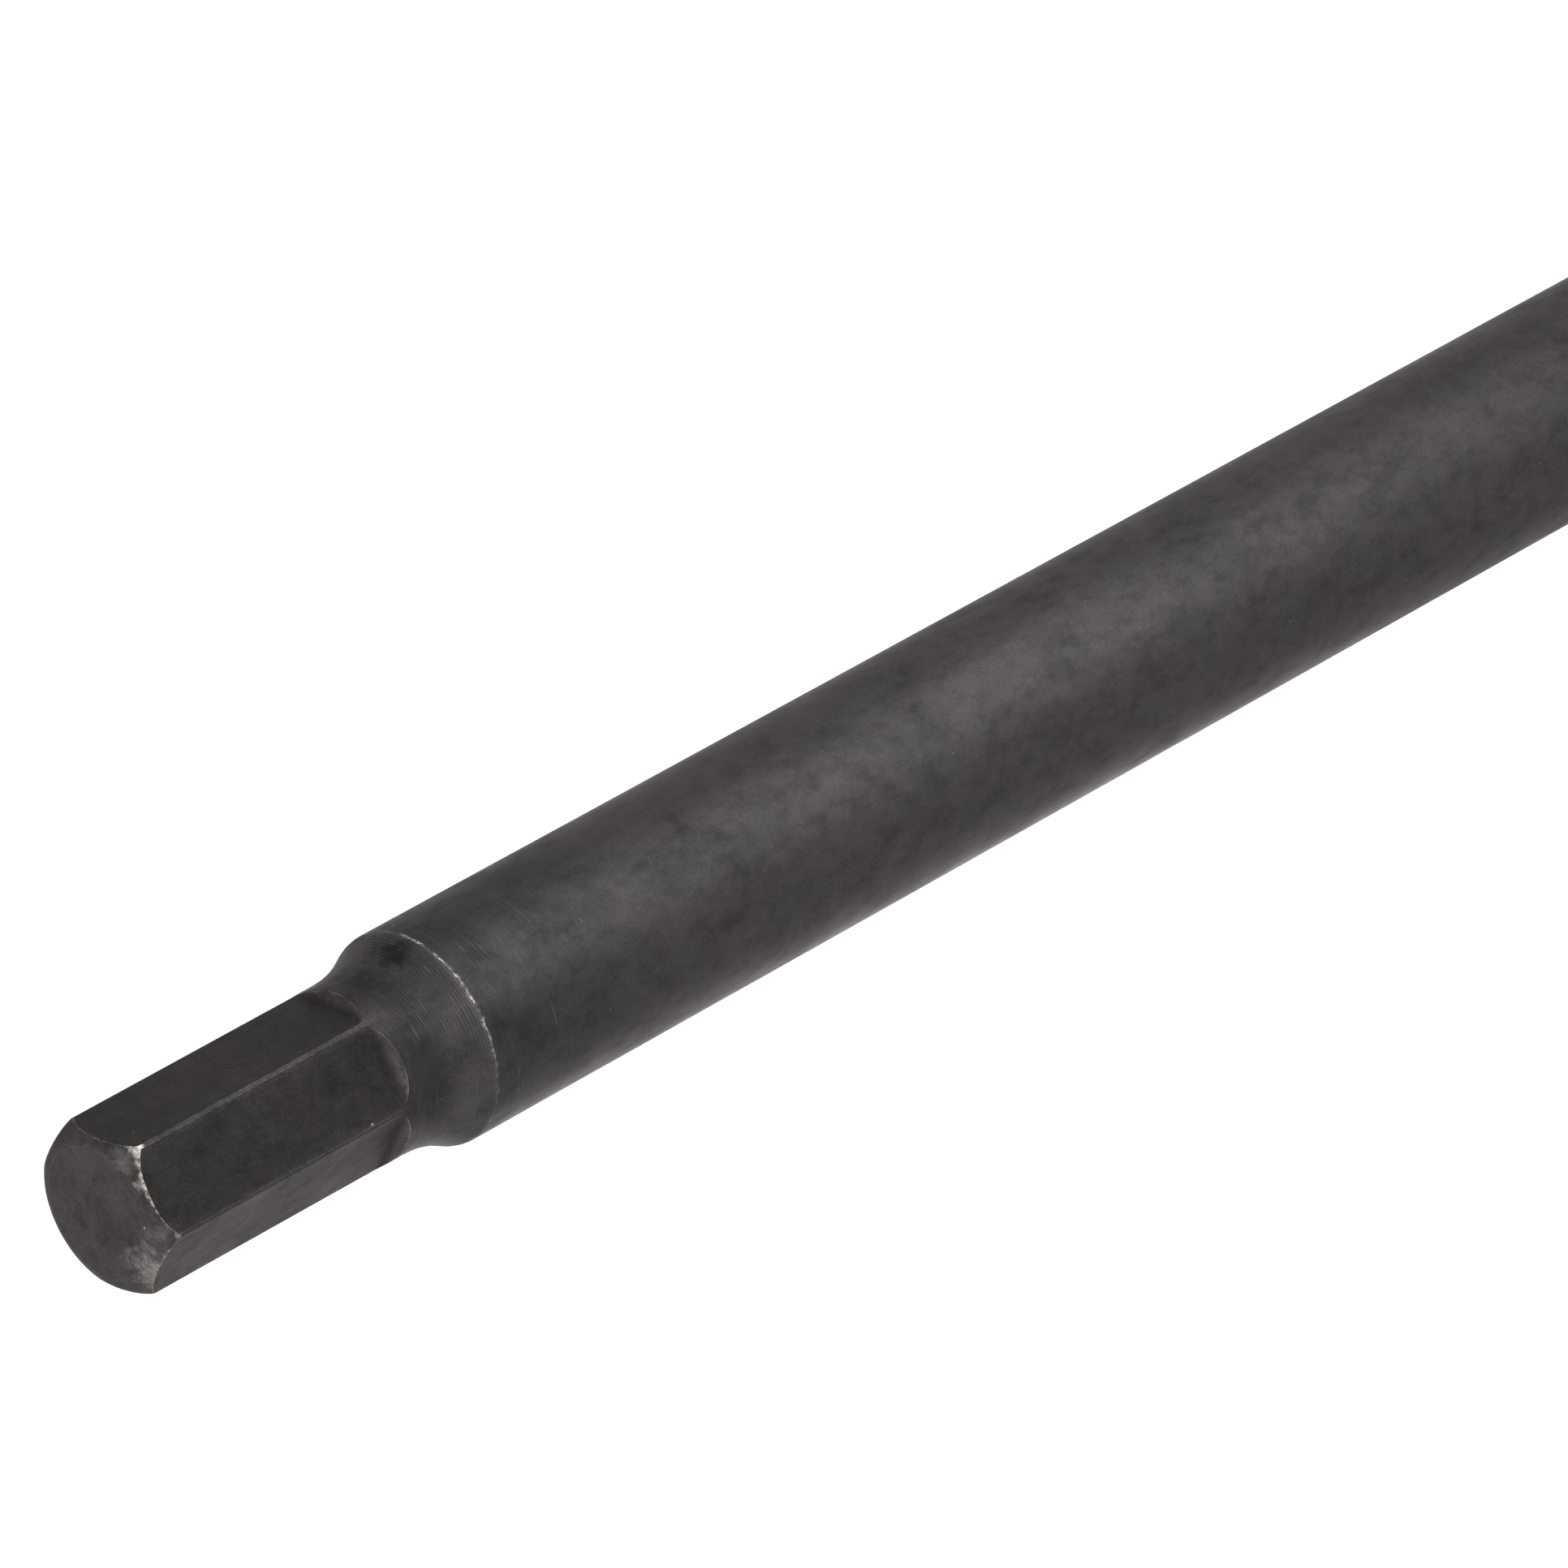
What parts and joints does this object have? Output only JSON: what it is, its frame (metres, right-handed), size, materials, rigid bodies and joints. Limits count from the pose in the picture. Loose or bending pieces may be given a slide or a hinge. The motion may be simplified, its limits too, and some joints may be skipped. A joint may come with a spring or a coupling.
{
  "type": "impact hex bit socket",
  "caption": "Extra-long impact driver: a square-drive body, a round shank and a male hexagon tip, with the bit held by a cross pin and a rubber ring.",
  "frame": {"origin": "centre of the drive-end face, on which the tool stands", "axes": "+Z along the tool from the drive end to the hexagon tip, +X along the cross pin and square to one flat of the hexagon"},
  "size_m": [0.0262, 0.0262, 0.2],
  "materials": {
    "body_steel": "black phosphate on chrome-molybdenum steel",
    "bit_steel": "black phosphate on turned and milled alloy steel, bright where worn",
    "pin_steel": "ground steel",
    "ring_rubber": "moulded nitrile rubber, satin"
  },
  "bodies": {
    "socket": {"drive_socket": "body_steel", "pin_ring": "ring_rubber"},
    "bit": {"hex_bit": "bit_steel"},
    "pin": {"bit_pin": "pin_steel"}
  },
  "joints": [
    {"name": "bit_play", "type": "slide", "parent": "socket", "child": "bit", "axis": [0, 0, 1], "range_m": [0, 0.0004]},
    {"name": "pin_play", "type": "slide", "parent": "socket", "child": "pin", "axis": [1, 0, 0], "range_m": [-0.0003, 0.0003]}
  ]
}
